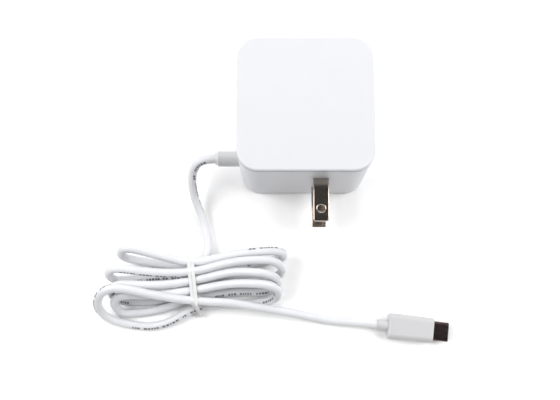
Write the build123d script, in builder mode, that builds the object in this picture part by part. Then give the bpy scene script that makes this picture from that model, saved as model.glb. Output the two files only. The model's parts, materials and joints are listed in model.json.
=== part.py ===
"""A wall-plug power adapter with a captive cord, lying on its large face.

Millimetres. +Z is up from the surface that the adapter lies on, -Y is the way the two blades point,
and the origin is at the bottom centre of the housing with its blades.
"""

from build123d import *
import math
import os

os.makedirs("parts", exist_ok=True)

# ---------------------------------------------------------------- driving dimensions

# Housing
body_width = 53.0
body_length = 53.0
body_height = 35.0
corner_radius = 8.2
wall = 2.2
seam_height = 33.4
seam_gap = 0.3
seam_depth = 0.5
base_rounding = 1.2
top_rounding = 0.7
rim_width = 1.1
rim_depth = 2.0
fit_gap = 0.1

# Blades of the unpolarised two-pin North American plug
blade_width = 6.35
blade_thickness = 1.5
blade_pitch = 12.7
blade_reach = 17.2
blade_inside = 13.0
blade_hole_radius = 1.55
blade_hole_setback = 12.0
blade_offset = 6.5

# Board
board_width = 45.0
board_length = 43.0
board_thickness = 1.6
board_bottom = 6.5
pin_radius = 0.3
pin_hole_radius = 0.45
pin_below_board = 1.0

# Cord and its ends
cord_diameter = 3.6
relief_radius = 3.1
relief_reach = 10.0
plug_width = 11.2
plug_thickness = 6.2
plug_length = 19.2
plug_boot_length = 4.6
plug_boot_radius = 2.45
shell_width = 8.25
shell_thickness = 2.4
shell_reach = 6.65
shell_wall = 0.2

# ---------------------------------------------------------------- derived places

front_y = -(body_length - blade_reach) / 2
back_y = front_y + body_length
body_y = front_y + body_length / 2
middle_z = body_height / 2
inner_front = front_y + wall
inner_back = back_y - wall
inner_half_width = body_width / 2 - wall
board_top = board_bottom + board_thickness
board_y = body_y + 0.6
blade_levels = {
    "upper": middle_z + blade_pitch / 2,
    "lower": middle_z - blade_pitch / 2,
}
relief_y = front_y + 10.2
relief_tip_x = -body_width / 2 - relief_reach
cord_radius = cord_diameter / 2

# Places of the parts on the board: (x, y) of each centre
fuse_place = (17.6, -5.2)
bridge_place = (17.6, 3.0)
filter_place = (7.5, 1.0)
bulk_places = [(15.8, 12.6), (15.8, 23.4)]
bulk_radius = 5.0
controller_place = (-0.6, 2.5)
y_capacitor_place = (-7.0, -10.0)
optocoupler_place = (-8.0, 3.5)
transformer_place = (1.0, 18.0)
rectifier_place = (-15.0, 24.0)
output_capacitor_places = [(-18.2, 11.5), (-18.2, 3.5)]
output_choke_place = (-12.5, -5.0)
lead_places = [(-17.5, -4.2), (-17.5, -11.2)]
mains_lead_places = [(16.5, -11.5), (-3.0, -5.5)]


def save(piece, label):
    """Labels a finished piece and writes it as a STEP file of the same name."""
    piece.label = label
    export_step(piece, f"parts/{label}.step")


def around(place, spacing_x, spacing_y=0.0):
    """Pin places in pairs (or fours) about a component's centre."""
    rows = [-spacing_y / 2, spacing_y / 2] if spacing_y else [0.0]
    columns = [-spacing_x / 2, spacing_x / 2] if spacing_x else [0.0]
    return [(place[0] + x, place[1] + y) for x in columns for y in rows]


def add_pins(places, height=0.0):
    """Adds round pins through the board to the part being built, up to a height above the board."""
    length = pin_below_board + board_thickness + height
    with Locations(*[(x, y, board_bottom - pin_below_board) for x, y in places]):
        Cylinder(pin_radius, length, align=(Align.CENTER, Align.CENTER, Align.MIN))


fuse_pins = around(fuse_place, 0.0, 5.0)
bridge_pins = around(bridge_place, 5.0, 5.0)
filter_pins = around(filter_place, 5.0)
bulk_pins = [pin for place in bulk_places for pin in around(place, 5.0)]
y_capacitor_pins = around(y_capacitor_place, 7.0)
optocoupler_pins = around(optocoupler_place, 7.2, 2.54)
transformer_pins = around(transformer_place, 15.0, 16.0) + around(transformer_place, 5.0, 16.0)
output_capacitor_pins = [pin for place in output_capacitor_places for pin in around(place, 2.5)]
output_choke_pins = around(output_choke_place, 3.5)
heatsink_pins = [(-11.2, 19.0), (-11.2, 29.0)]

# ---------------------------------------------------------------- housing

post_radius = 2.2
pip_radius = 0.9
pip_height = 0.6
post_places = [(x, board_y + y) for x in (-20.4, 20.4) for y in (-19.4, 19.4)]
relief_neck_radius = 2.5

with BuildPart() as housing_shell:
    with BuildSketch():
        with Locations((0, body_y)):
            RectangleRounded(body_width, body_length, corner_radius)
    extrude(amount=seam_height)
    fillet(housing_shell.faces().sort_by(Axis.Z)[0].edges(), base_rounding)
    with BuildSketch(Plane.XY.offset(wall)):
        with Locations((0, body_y)):
            RectangleRounded(body_width - 2 * wall, body_length - 2 * wall, corner_radius - wall)
    extrude(amount=seam_height, mode=Mode.SUBTRACT)
    # Step inside the rim, which takes the cover's tongue
    with BuildSketch(Plane.XY.offset(seam_height - rim_depth)):
        with Locations((0, body_y)):
            RectangleRounded(
                body_width - 2 * rim_width, body_length - 2 * rim_width, corner_radius - rim_width
            )
    extrude(amount=rim_depth, mode=Mode.SUBTRACT)
    # Four posts that hold the board, each with a locating pip
    with BuildSketch(Plane.XY.offset(wall)):
        with Locations(*post_places):
            Circle(post_radius)
    extrude(amount=board_bottom - wall)
    with BuildSketch(Plane.XY.offset(board_bottom)):
        with Locations(*post_places):
            Circle(pip_radius)
    extrude(amount=board_thickness + pip_height)
    # Slots for the blades and the hole for the cord's strain relief
    with BuildSketch(Plane.XZ.offset(-inner_front)):
        with Locations(*[(blade_offset, level) for level in blade_levels.values()]):
            Rectangle(blade_width + fit_gap, blade_thickness + fit_gap)
    extrude(amount=wall, mode=Mode.SUBTRACT)
    with BuildSketch(Plane.YZ.offset(-body_width / 2)):
        with Locations((relief_y, middle_z)):
            Circle(relief_neck_radius + fit_gap)
    extrude(amount=wall, mode=Mode.SUBTRACT)
save(housing_shell.part, "housing_shell")

tongue_inset = rim_width + fit_gap
tongue_thickness = 1.0
with BuildPart() as housing_cover:
    # Neck inside the shadow gap, which is left by the plate above it
    with BuildSketch(Plane.XY.offset(seam_height)):
        with Locations((0, body_y)):
            RectangleRounded(
                body_width - 2 * seam_depth, body_length - 2 * seam_depth, corner_radius - seam_depth
            )
    extrude(amount=seam_gap)
    with BuildSketch(Plane.XY.offset(seam_height + seam_gap)):
        with Locations((0, body_y)):
            RectangleRounded(body_width, body_length, corner_radius)
    extrude(amount=body_height - seam_height - seam_gap)
    fillet(housing_cover.faces().sort_by(Axis.Z)[-1].edges(), top_rounding)
    # Tongue that is welded into the shell's rim
    with BuildSketch(Plane.XY.offset(seam_height - rim_depth + fit_gap)):
        with Locations((0, body_y)):
            RectangleRounded(
                body_width - 2 * tongue_inset,
                body_length - 2 * tongue_inset,
                corner_radius - tongue_inset,
            )
            RectangleRounded(
                body_width - 2 * (tongue_inset + tongue_thickness),
                body_length - 2 * (tongue_inset + tongue_thickness),
                corner_radius - tongue_inset - tongue_thickness,
                mode=Mode.SUBTRACT,
            )
    extrude(amount=rim_depth - fit_gap)
save(housing_cover.part, "housing_cover")

# ---------------------------------------------------------------- mains plug

tip_y = front_y - blade_reach
hole_y = front_y - blade_hole_setback
tip_corner = 1.7
blade_bevel = 0.3
hole_bevel = 0.45

for side, level in blade_levels.items():
    with BuildPart() as blade:
        with BuildSketch(Plane.XY.offset(level - blade_thickness / 2)):
            with Locations((blade_offset, (tip_y + front_y + blade_inside) / 2)):
                Rectangle(blade_width, blade_reach + blade_inside)
        extrude(amount=blade_thickness)
        fillet(blade.edges().filter_by(Axis.Z).sort_by(Axis.Y)[:2], tip_corner)
        chamfer(blade.faces().filter_by(Axis.Z).edges(), blade_bevel)
        with Locations((blade_offset, hole_y, level)):
            Hole(blade_hole_radius)
        rims = blade.edges().filter_by(GeomType.CIRCLE).filter_by(
            lambda edge: abs(edge.radius - blade_hole_radius) < 0.01
        )
        chamfer(rims, hole_bevel)
    save(blade.part, f"{side}_blade")

carrier_width = 13.0
carrier_length = 9.0
carrier_bottom = board_top + 0.3
carrier_top = 27.5
carrier_corner = 0.8
carrier_end_wall = 1.5
carrier_web = 2.0
with BuildPart() as blade_carrier:
    with BuildSketch(Plane.XY.offset(carrier_bottom)):
        with Locations((blade_offset, inner_front + carrier_length / 2)):
            RectangleRounded(carrier_width, carrier_length, carrier_corner)
    extrude(amount=carrier_top - carrier_bottom)
    # Window between the blades, which keeps the walls of the moulding even
    with BuildSketch(Plane.YZ.offset(blade_offset - carrier_width / 2)):
        with Locations((inner_front + carrier_length / 2, middle_z)):
            Rectangle(
                carrier_length - 2 * carrier_end_wall, blade_pitch - blade_thickness - 2 * carrier_web
            )
    extrude(amount=carrier_width, mode=Mode.SUBTRACT)
    with BuildSketch(Plane.XZ.offset(-inner_front - carrier_length)):
        with Locations(*[(blade_offset, level) for level in blade_levels.values()]):
            Rectangle(blade_width, blade_thickness)
    extrude(amount=carrier_length, mode=Mode.SUBTRACT)
save(blade_carrier.part, "blade_carrier")


def wire(points, radius, bend):
    """A round wire along straight runs that are joined by arcs of one radius."""
    with BuildPart() as lead:
        with BuildLine() as run:
            FilletPolyline(*points, radius=bend)
        with BuildSketch(Plane(origin=run.line @ 0, z_dir=run.line % 0)):
            Circle(radius)
        sweep()
    return lead.part


lead_radius = 0.7
lead_bend = 1.1
lead_overlap = 1.7
lead_off_centre = 1.6
lead_slope = 0.4
blade_end_y = front_y + blade_inside
lead_start_y = blade_end_y + lead_radius + 0.5
for side, (lead_x, lead_y), outward in (
    ("upper", mains_lead_places[0], 1),
    ("lower", mains_lead_places[1], -1),
):
    level = blade_levels[side] + blade_thickness / 2 + lead_radius
    beside = blade_offset + outward * lead_off_centre
    points = [
        (beside, blade_end_y - lead_overlap, level),
        (beside, lead_start_y, level),
        (beside + outward * carrier_width / 2, lead_start_y + lead_slope, level - 2 * lead_slope),
        (lead_x, lead_y, board_top + lead_slope * (level - board_top)),
        (lead_x, lead_y, board_top),
    ]
    save(wire(points, lead_radius, lead_bend), f"{side}_blade_lead")

# ---------------------------------------------------------------- board and its parts

board_corner = 4.0
with BuildPart() as main_board:
    with BuildSketch(Plane.XY.offset(board_bottom)):
        with Locations((0, board_y)):
            RectangleRounded(board_width, board_length, board_corner)
    extrude(amount=board_thickness)
    with BuildSketch(Plane.XY.offset(board_bottom)):
        with Locations(*post_places):
            Circle(pip_radius + fit_gap)
        with Locations(
            *fuse_pins,
            *bridge_pins,
            *filter_pins,
            *bulk_pins,
            *y_capacitor_pins,
            *optocoupler_pins,
            *transformer_pins,
            *output_capacitor_pins,
            *output_choke_pins,
            *heatsink_pins,
        ):
            Circle(pin_hole_radius)
    extrude(amount=board_thickness, mode=Mode.SUBTRACT)
save(main_board.part, "main_board")

liner_thickness = 0.3
liner_gap = 0.3
with BuildPart() as insulation_liner:
    with BuildSketch(Plane.XY.offset(wall)):
        with Locations((0, board_y)):
            RectangleRounded(board_width, board_length, board_corner)
        with Locations(*post_places):
            Circle(post_radius + liner_gap, mode=Mode.SUBTRACT)
    extrude(amount=liner_thickness)
save(insulation_liner.part, "insulation_liner")

fuse_radius = 4.1
fuse_height = 7.6
fuse_rounding = 0.6
with BuildPart() as fuse:
    with BuildSketch(Plane.XY.offset(board_top)):
        with Locations(fuse_place):
            Circle(fuse_radius)
    extrude(amount=fuse_height)
    fillet(fuse.faces().sort_by(Axis.Z)[-1].edges(), fuse_rounding)
    add_pins(fuse_pins)
save(fuse.part, "fuse")

bridge_size = (8.2, 6.6)
bridge_height = 3.2
bridge_key = 1.0
with BuildPart() as bridge_rectifier:
    with BuildSketch(Plane.XY.offset(board_top)):
        with Locations(bridge_place):
            Rectangle(*bridge_size)
    extrude(amount=bridge_height)
    chamfer(bridge_rectifier.edges().filter_by(Axis.Z).sort_by(Axis.X)[-1:], bridge_key)
    add_pins(bridge_pins)
save(bridge_rectifier.part, "bridge_rectifier")

flange_thickness = 1.2
spool_height = 8.5
spool_radius = 3.8
spool_core_radius = 1.7
filter_winding_radius = 3.3
winding_clearance = 0.05
with BuildPart() as filter_choke_core:
    for level, radius, height in (
        (0.0, spool_radius, flange_thickness),
        (flange_thickness, spool_core_radius, spool_height - 2 * flange_thickness),
        (spool_height - flange_thickness, spool_radius, flange_thickness),
    ):
        with BuildSketch(Plane.XY.offset(board_top + level)):
            with Locations(filter_place):
                Circle(radius)
        extrude(amount=height)
    add_pins(filter_pins)
save(filter_choke_core.part, "filter_choke_core")

with BuildPart() as filter_choke_winding:
    with BuildSketch(Plane.XY.offset(board_top + flange_thickness + winding_clearance)):
        with Locations(filter_place):
            Circle(filter_winding_radius)
            Circle(spool_core_radius + winding_clearance, mode=Mode.SUBTRACT)
    extrude(amount=spool_height - 2 * (flange_thickness + winding_clearance))
save(filter_choke_winding.part, "filter_choke_winding")


groove_bottom = 1.4
groove_half_height = 0.4
can_bevel = 0.5


def round_can(radius, height, groove):
    """An upright round capacitor can at the origin, with the groove rolled in above its seal."""
    with BuildPart() as can:
        with BuildSketch(Plane.XZ):
            with BuildLine():
                Polyline(
                    (0, 0),
                    (radius, 0),
                    (radius, groove_bottom),
                    (radius - groove, groove_bottom + groove_half_height),
                    (radius, groove_bottom + 2 * groove_half_height),
                    (radius, height - can_bevel),
                    (radius - can_bevel, height),
                    (0, height),
                    close=True,
                )
            make_face()
        revolve(axis=Axis.Z)
    return can.part


bulk_height = 20.0
bulk_can = round_can(bulk_radius, bulk_height, groove=0.4)
with BuildPart() as bulk_capacitors:
    with Locations(*[(x, y, board_top) for x, y in bulk_places]):
        add(bulk_can)
    add_pins(bulk_pins)
save(bulk_capacitors.part, "bulk_capacitors")

output_can_radius = 3.15
output_can_height = 10.5
output_can = round_can(output_can_radius, output_can_height, groove=0.3)
with BuildPart() as output_capacitors:
    with Locations(*[(x, y, board_top) for x, y in output_capacitor_places]):
        add(output_can)
    add_pins(output_capacitor_pins)
save(output_capacitors.part, "output_capacitors")

controller_size = (4.0, 5.0)
controller_height = 1.45
controller_standoff = 0.15
controller_leg = (1.2, 0.4)
controller_leg_pitch = (5.2, 1.27)
controller_leg_thickness = 0.4
with BuildPart() as switching_controller:
    with BuildSketch(Plane.XY.offset(board_top + controller_standoff)):
        with Locations(controller_place):
            Rectangle(*controller_size)
    extrude(amount=controller_height)
    with BuildSketch(Plane.XY.offset(board_top)):
        with Locations(controller_place):
            with GridLocations(*controller_leg_pitch, 2, 4):
                Rectangle(*controller_leg)
    extrude(amount=controller_leg_thickness)
save(switching_controller.part, "switching_controller")

disc_radius = 4.4
disc_thickness = 3.2
disc_rounding = 0.8
disc_lift = 5.6
disc_leg_height = 4.0
disc_plane = Plane(
    origin=(y_capacitor_place[0], y_capacitor_place[1] + disc_thickness / 2, board_top + disc_lift),
    z_dir=(0, -1, 0),
)
with BuildPart() as y_capacitor:
    with BuildSketch(disc_plane):
        Circle(disc_radius)
    extrude(amount=disc_thickness)
    fillet(y_capacitor.edges(), disc_rounding)
    add_pins(y_capacitor_pins, height=disc_leg_height)
save(y_capacitor.part, "y_capacitor")

coupler_size = (6.4, 4.6)
coupler_height = 3.3
coupler_standoff = 0.5
coupler_bevel = 0.4
coupler_leg = (7.8, 1.0)
coupler_leg_pitch = 2.54
coupler_leg_level = 1.6
coupler_leg_thickness = 0.4
with BuildPart() as optocoupler:
    with BuildSketch(Plane.XY.offset(board_top + coupler_standoff)):
        with Locations(optocoupler_place):
            Rectangle(*coupler_size)
    extrude(amount=coupler_height)
    chamfer(optocoupler.edges().filter_by(Axis.Y).sort_by(Axis.Z)[-2:], coupler_bevel)
    with BuildSketch(Plane.XY.offset(board_top + coupler_leg_level)):
        with Locations(optocoupler_place):
            with GridLocations(0, coupler_leg_pitch, 1, 2):
                Rectangle(*coupler_leg)
    extrude(amount=coupler_leg_thickness)
    add_pins(optocoupler_pins, height=coupler_leg_level + coupler_leg_thickness / 2)
save(optocoupler.part, "optocoupler")

# Transformer: an E core round a bobbin whose winding is taped over
core_width = 19.0
core_depth = 9.0
core_height = 15.0
limb = 2.4
centre_limb = 4.8
core_base = board_top + 3.2
bobbin_length = 16.0
winding_gap = 0.1
transformer_x, transformer_y = transformer_place
window_width = (core_width - 2 * limb - centre_limb) / 2
window_height = core_height - 2 * limb
window_middle = core_base + core_height / 2

with BuildPart() as transformer_core:
    with BuildSketch(Plane.XZ.offset(-transformer_y - core_depth / 2)):
        with Locations((transformer_x, window_middle)):
            Rectangle(core_width, core_height)
            with GridLocations(centre_limb + window_width, 0, 2, 1):
                Rectangle(window_width, window_height, mode=Mode.SUBTRACT)
    extrude(amount=core_depth)
save(transformer_core.part, "transformer_core")

sleeve_wall = 0.9
end_thickness = 0.8
foot_depth = 3.8
foot_height = 3.0
foot_neck_depth = 2.6
foot_offset = 2.4
foot_shift = 0.2
bobbin_width = core_width - 2 * (limb + winding_gap)
bobbin_ends = (
    core_base + limb + winding_gap,
    core_base + core_height - limb - winding_gap - end_thickness,
)
with BuildPart() as transformer_bobbin:
    # Sleeve on the centre limb, a flange at each end and the foot that stands on the board
    with BuildSketch(Plane.XY.offset(core_base + limb + winding_gap)):
        with Locations(transformer_place):
            Rectangle(
                centre_limb + 2 * (sleeve_wall + winding_gap), core_depth + 2 * (sleeve_wall + winding_gap)
            )
            Rectangle(centre_limb + 2 * winding_gap, core_depth + 2 * winding_gap, mode=Mode.SUBTRACT)
    extrude(amount=window_height - 2 * winding_gap)
    for level in bobbin_ends:
        with BuildSketch(Plane.XY.offset(level)):
            with Locations(transformer_place):
                Rectangle(bobbin_width, bobbin_length)
                Rectangle(
                    centre_limb + 2 * winding_gap, core_depth + 2 * winding_gap, mode=Mode.SUBTRACT
                )
        extrude(amount=end_thickness)
    for end in (-1, 1):
        foot_y = transformer_y + end * (core_depth / 2 + foot_offset)
        with BuildSketch(Plane.XY.offset(board_top)):
            with Locations((transformer_x, foot_y + end * foot_shift)):
                Rectangle(core_width, foot_depth)
        extrude(amount=foot_height)
        with BuildSketch(Plane.XY.offset(board_top + foot_height)):
            with Locations((transformer_x, foot_y)):
                Rectangle(bobbin_width, foot_neck_depth)
        extrude(amount=bobbin_ends[0] - board_top - foot_height + end_thickness / 2)
save(transformer_bobbin.part, "transformer_bobbin")

winding_bottom = bobbin_ends[0] + end_thickness
winding_height = bobbin_ends[1] - winding_bottom
sleeve_half_x = centre_limb / 2 + sleeve_wall + winding_gap
sleeve_half_y = core_depth / 2 + sleeve_wall + winding_gap
winding_depth = 1.6
tape_depth = 0.35
for label, start, depth in (
    ("transformer_winding", 0.0, winding_depth),
    ("transformer_tape", winding_depth, tape_depth),
):
    with BuildPart() as layer:
        with BuildSketch(Plane.XY.offset(winding_bottom)):
            with Locations(transformer_place):
                Rectangle(2 * (sleeve_half_x + start + depth), 2 * (sleeve_half_y + start + depth))
                Rectangle(2 * (sleeve_half_x + start), 2 * (sleeve_half_y + start), mode=Mode.SUBTRACT)
        extrude(amount=winding_height)
    save(layer.part, label)

with BuildPart() as transformer_terminals:
    with BuildSketch(Plane.XY.offset(board_bottom - pin_below_board)):
        with Locations(*transformer_pins):
            Circle(pin_radius)
    extrude(amount=pin_below_board + board_thickness)
save(transformer_terminals.part, "transformer_terminals")

rectifier_size = (5.0, 6.0)
rectifier_height = 1.1
with BuildPart() as output_rectifier:
    with BuildSketch(Plane.XY.offset(board_top)):
        with Locations(rectifier_place):
            Rectangle(*rectifier_size)
    extrude(amount=rectifier_height)
save(output_rectifier.part, "output_rectifier")

# The heat sink is a bent strip: a foot over the rectifier and an upright wing
sink_thickness = 1.2
sink_x = -11.8
sink_length = 12.0
sink_height = 15.0
sink_bottom = board_top + rectifier_height
foot_left = rectifier_place[0] - 3.0
foot_right = sink_x + sink_thickness
with BuildPart() as output_heatsink:
    with BuildSketch(Plane.XY.offset(sink_bottom)):
        with Locations(((foot_left + foot_right) / 2, rectifier_place[1])):
            Rectangle(foot_right - foot_left, sink_length)
    extrude(amount=sink_thickness)
    with BuildSketch(Plane.XY.offset(sink_bottom)):
        with Locations((sink_x + sink_thickness / 2, rectifier_place[1])):
            Rectangle(sink_thickness, sink_length)
    extrude(amount=sink_height)
    add_pins(heatsink_pins, height=rectifier_height)
save(output_heatsink.part, "output_heatsink")

choke_radius = 3.0
choke_height = 6.5
choke_bevel = 0.4
with BuildPart() as output_choke:
    with BuildSketch(Plane.XY.offset(board_top)):
        with Locations(output_choke_place):
            Circle(choke_radius)
    extrude(amount=choke_height)
    chamfer(output_choke.faces().sort_by(Axis.Z)[-1].edges(), choke_bevel)
    add_pins(output_choke_pins)
save(output_choke.part, "output_choke")

barrier_thickness = 0.4
barrier_length = 17.0
barrier_height = 19.0
barrier_place = (sink_x + sink_thickness + 0.5, rectifier_place[1] - 2.0)
with BuildPart() as isolation_barrier:
    with BuildSketch(Plane.XY.offset(board_top)):
        with Locations(barrier_place):
            Rectangle(barrier_thickness, barrier_length)
    extrude(amount=barrier_height)
save(isolation_barrier.part, "isolation_barrier")

# Small chip parts on the board: (x, y, length, width, height)
chip_parts = [
    (1.6, -1.4, 3.2, 1.6, 0.9),
    (13.0, -2.6, 2.0, 1.2, 0.6),
    (12.6, 7.2, 2.0, 1.2, 0.6),
    (-6.5, 8.2, 2.0, 1.2, 0.6),
    (-11.8, 9.0, 1.6, 0.8, 0.5),
    (-12.8, 13.0, 2.0, 1.2, 0.6),
    (-20.4, 18.5, 1.6, 0.8, 0.5),
    (-20.4, 22.0, 1.6, 0.8, 0.5),
    (-20.6, 25.0, 2.0, 1.2, 0.6),
    (-13.8, -0.2, 3.0, 3.0, 0.9),
]
with BuildPart() as chip_components:
    for x, y, length, width, height in chip_parts:
        with BuildSketch(Plane.XY.offset(board_top)):
            with Locations((x, y)):
                Rectangle(length, width)
        extrude(amount=height)
save(chip_components.part, "chip_components")

# ---------------------------------------------------------------- cord's strain relief at the housing

flange_radius = 3.4
flange_gap = 0.2
flange_depth = 1.2
inner_wall_x = -inner_half_width
flange_start = inner_wall_x + flange_gap
flange_end = flange_start + flange_depth
lip_length = 0.9
lip_height = 0.5
lip_slope = 0.3
mouth_rounding = 0.4
lip_x = relief_tip_x + lip_length
with BuildPart() as cord_strain_relief:
    with BuildSketch(Plane.XZ.offset(-relief_y)):
        with BuildLine():
            Polyline(
                (relief_tip_x, middle_z),
                (relief_tip_x, middle_z + cord_radius + lip_height),
                (lip_x, middle_z + cord_radius + lip_height + lip_slope),
                (lip_x, middle_z + relief_radius - mouth_rounding),
                (lip_x + mouth_rounding, middle_z + relief_radius),
                (-body_width / 2, middle_z + relief_radius),
                (-body_width / 2, middle_z + relief_neck_radius),
                (flange_start, middle_z + relief_neck_radius),
                (flange_start, middle_z + flange_radius),
                (flange_end, middle_z + flange_radius),
                (flange_end, middle_z),
                close=True,
            )
        make_face()
    revolve(axis=Axis((0, relief_y, middle_z), (1, 0, 0)))
save(cord_strain_relief.part, "cord_strain_relief")

output_lead_spacing = 1.2
output_lead_run = 2.6
output_lead_drop = 4.0
output_lead_bend = 1.2
for (lead_x, lead_y), label, side in (
    (lead_places[0], "positive_output_lead", 1),
    (lead_places[1], "ground_output_lead", -1),
):
    points = [
        (flange_end, relief_y + side * output_lead_spacing, middle_z),
        (flange_end + output_lead_run, relief_y + side * output_lead_spacing, middle_z),
        (lead_x, lead_y, middle_z - output_lead_drop),
        (lead_x, lead_y, board_top),
    ]
    save(wire(points, lead_radius, output_lead_bend), label)

# ---------------------------------------------------------------- cord

plug_turn = -6.4
plug_axis = Vector(math.cos(math.radians(plug_turn)), math.sin(math.radians(plug_turn)), 0)
plug_side = Vector(-plug_axis.Y, plug_axis.X, 0)
plug_z = plug_thickness / 2
plug_start = Vector(31.5, -75.6, plug_z)

# Route from the strain relief down to the hank, and from the hank to the plug
route_to_hank = [
    (relief_tip_x, relief_y, middle_z),
    (-41.8, relief_y, middle_z),
    (-46.2, -10.6, 14.6),
    (-47.6, -16.4, 9.2),
    (-46.2, -23.4, 4.4),
    (-43.0, -30.8, 2.3),
    (-41.2, -38.4, 2.6),
    (-41.0, -44.6, 3.2),
    (-41.0, -50.6, 3.2),
]
route_to_plug = [
    (-13.0, -69.0, 5.6),
    (-5.0, -70.6, 4.6),
    (4.6, -72.6, 2.4),
    (14.4, -74.4, 1.9),
    tuple(plug_start - plug_axis * 6.6),
    tuple(plug_start),
]


def route_radii(points):
    """The largest arc at each corner that its two runs allow."""
    radii = []
    for before, corner, after in zip(points, points[1:], points[2:]):
        run_in = Vector(*corner) - Vector(*before)
        run_out = Vector(*after) - Vector(*corner)
        half_turn = math.radians(run_in.get_angle(run_out)) / 2
        radii.append(0.45 * min(run_in.length, run_out.length) / math.tan(half_turn))
    return radii


for label, points in (("cord_to_hank", route_to_hank), ("cord_to_plug", route_to_plug)):
    radii = route_radii(points)
    with BuildPart() as tube:
        with BuildLine() as route:
            FilletPolyline(*points, radius=radii)
        with BuildSketch(Plane(origin=route.line @ 0, z_dir=route.line % 0)):
            Circle(cord_radius)
        sweep()
    save(tube.part, label)
    route_length = sum(edge.length for edge in route.edges())
    fill = tube.part.volume / (math.pi * cord_radius**2 * route_length)
    print(label, "radii", [round(radius, 1) for radius in radii])
    print(label, "length", round(route_length, 1), "volume over section times length", round(fill, 4))

# Hank: folded turns that fan out at both ends and are drawn in where the tie holds them
waist_right = -46.0
waist_left = -51.0
waist_back = -48.5
waist_front = -72.0
waist_bottom = 0.9
waist_top = 9.8
hank_outline = [
    (waist_right, waist_back),
    (-36.0, -46.4),
    (-26.0, -44.2),
    (-14.0, -43.2),
    (-7.4, -44.6),
    (-6.4, -50.0),
    (-8.0, -62.0),
    (-9.6, -67.4),
    (-12.0, -71.2),
    (-28.0, -69.8),
    (waist_right, waist_front),
    (waist_left, waist_front),
    (-58.0, -77.2),
    (-68.0, -78.6),
    (-78.0, -76.8),
    (-85.0, -72.0),
    (-88.0, -66.5),
    (-86.6, -60.4),
    (-83.6, -56.0),
    (-82.0, -50.0),
    (-79.6, -45.4),
    (-72.0, -43.8),
    (-62.0, -45.6),
    (waist_left, waist_back),
]
hank_height = 19.0
hank_reach = (35.0, 85.0)
# Side view of the hank: (x, z), thick at both ends and thin at the tie
hank_rise = [
    (waist_right, waist_top),
    (-34.0, 13.6),
    (-24.0, 16.2),
    (-16.0, 17.0),
    (-9.6, 14.6),
    (-6.0, 9.0),
    (-7.6, 3.6),
    (-12.0, 0.0),
    (-38.0, 0.0),
    (waist_right, waist_bottom),
    (waist_left, waist_bottom),
    (-58.0, 0.0),
    (-80.0, 0.0),
    (-86.0, 3.4),
    (-88.4, 9.0),
    (-86.6, 14.0),
    (-81.0, 18.0),
    (-76.0, hank_height),
    (-68.0, 17.8),
    (-60.0, 14.8),
    (waist_left, waist_top),
]
with BuildPart() as cord_hank:
    with BuildSketch():
        with BuildLine():
            Polyline(*hank_outline, close=True)
        make_face()
    extrude(amount=hank_height)
    with BuildSketch(Plane.XZ.offset(hank_reach[0])):
        with BuildLine():
            Polyline(*hank_rise, close=True)
        make_face()
    extrude(amount=hank_reach[1] - hank_reach[0], mode=Mode.INTERSECT)
save(cord_hank.part, "cord_hank")

tie_width = 2.6
tie_thickness = 0.6
tail_radius = 0.8
tail_length = 6.0
tail_gap = 0.6
tail_level = 1.9
tail_turn = -0.25
tie_x = (waist_left + waist_right) / 2
waist_depth = waist_back - waist_front
waist_thickness = waist_top - waist_bottom
with BuildPart() as twist_tie:
    with BuildSketch(Plane.YZ.offset(tie_x - tie_width / 2)):
        with Locations(((waist_back + waist_front) / 2, (waist_bottom + waist_top) / 2)):
            Rectangle(waist_depth + 2 * tie_thickness, waist_thickness + 2 * tie_thickness)
            Rectangle(waist_depth, waist_thickness, mode=Mode.SUBTRACT)
    extrude(amount=tie_width)
    # Twisted tail beside the front strand
    with BuildSketch(
        Plane(
            origin=(tie_x, waist_front - tie_thickness - tail_gap, tail_level),
            z_dir=(1, tail_turn, 0),
        )
    ):
        Circle(tail_radius)
    extrude(amount=tail_length)
save(twist_tie.part, "twist_tie")

# ---------------------------------------------------------------- connector plug on the cord's end


def plug_plane(along):
    """A cross-section plane of the plug, at a distance along its axis from the end of its boot."""
    return Plane(origin=plug_start + plug_axis * along, x_dir=plug_side, z_dir=plug_axis)


overmould_start = plug_boot_length
overmould_end = plug_boot_length + plug_length
overmould_corner = 2.3
overmould_taper = (0.6, 0.2)
rear_rounding = 0.9
mouth_edge_rounding = 0.6
boot_taper = 0.25
boot_overlap = 0.5
shell_inside = 3.0
cavity_start = overmould_start + 3.0
cavity_end = overmould_end - 1.2
cavity_size = (9.0, 3.6)
slip_gap = 0.06
with BuildPart() as plug_overmould:
    with BuildSketch(plug_plane(overmould_start)):
        RectangleRounded(plug_width, plug_thickness, overmould_corner)
    with BuildSketch(plug_plane(overmould_end)):
        RectangleRounded(
            plug_width - overmould_taper[0], plug_thickness - overmould_taper[1], overmould_corner
        )
    loft()
    fillet(plug_overmould.faces().sort_by(Axis.X)[0].edges(), rear_rounding)
    fillet(plug_overmould.faces().sort_by(Axis.X)[-1].edges(), mouth_edge_rounding)
    with BuildSketch(plug_plane(0)):
        Circle(plug_boot_radius - boot_taper)
    with BuildSketch(plug_plane(overmould_start + boot_overlap)):
        Circle(plug_boot_radius)
    loft()
    # Space for the small board and its leads, open at the mouth
    with BuildSketch(plug_plane(cavity_start)):
        Rectangle(*cavity_size)
    extrude(amount=cavity_end - cavity_start, mode=Mode.SUBTRACT)
    with BuildSketch(plug_plane(cavity_end)):
        SlotOverall(shell_width + slip_gap, shell_thickness + slip_gap)
    extrude(amount=overmould_end - cavity_end, mode=Mode.SUBTRACT)
save(plug_overmould.part, "plug_overmould")

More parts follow.
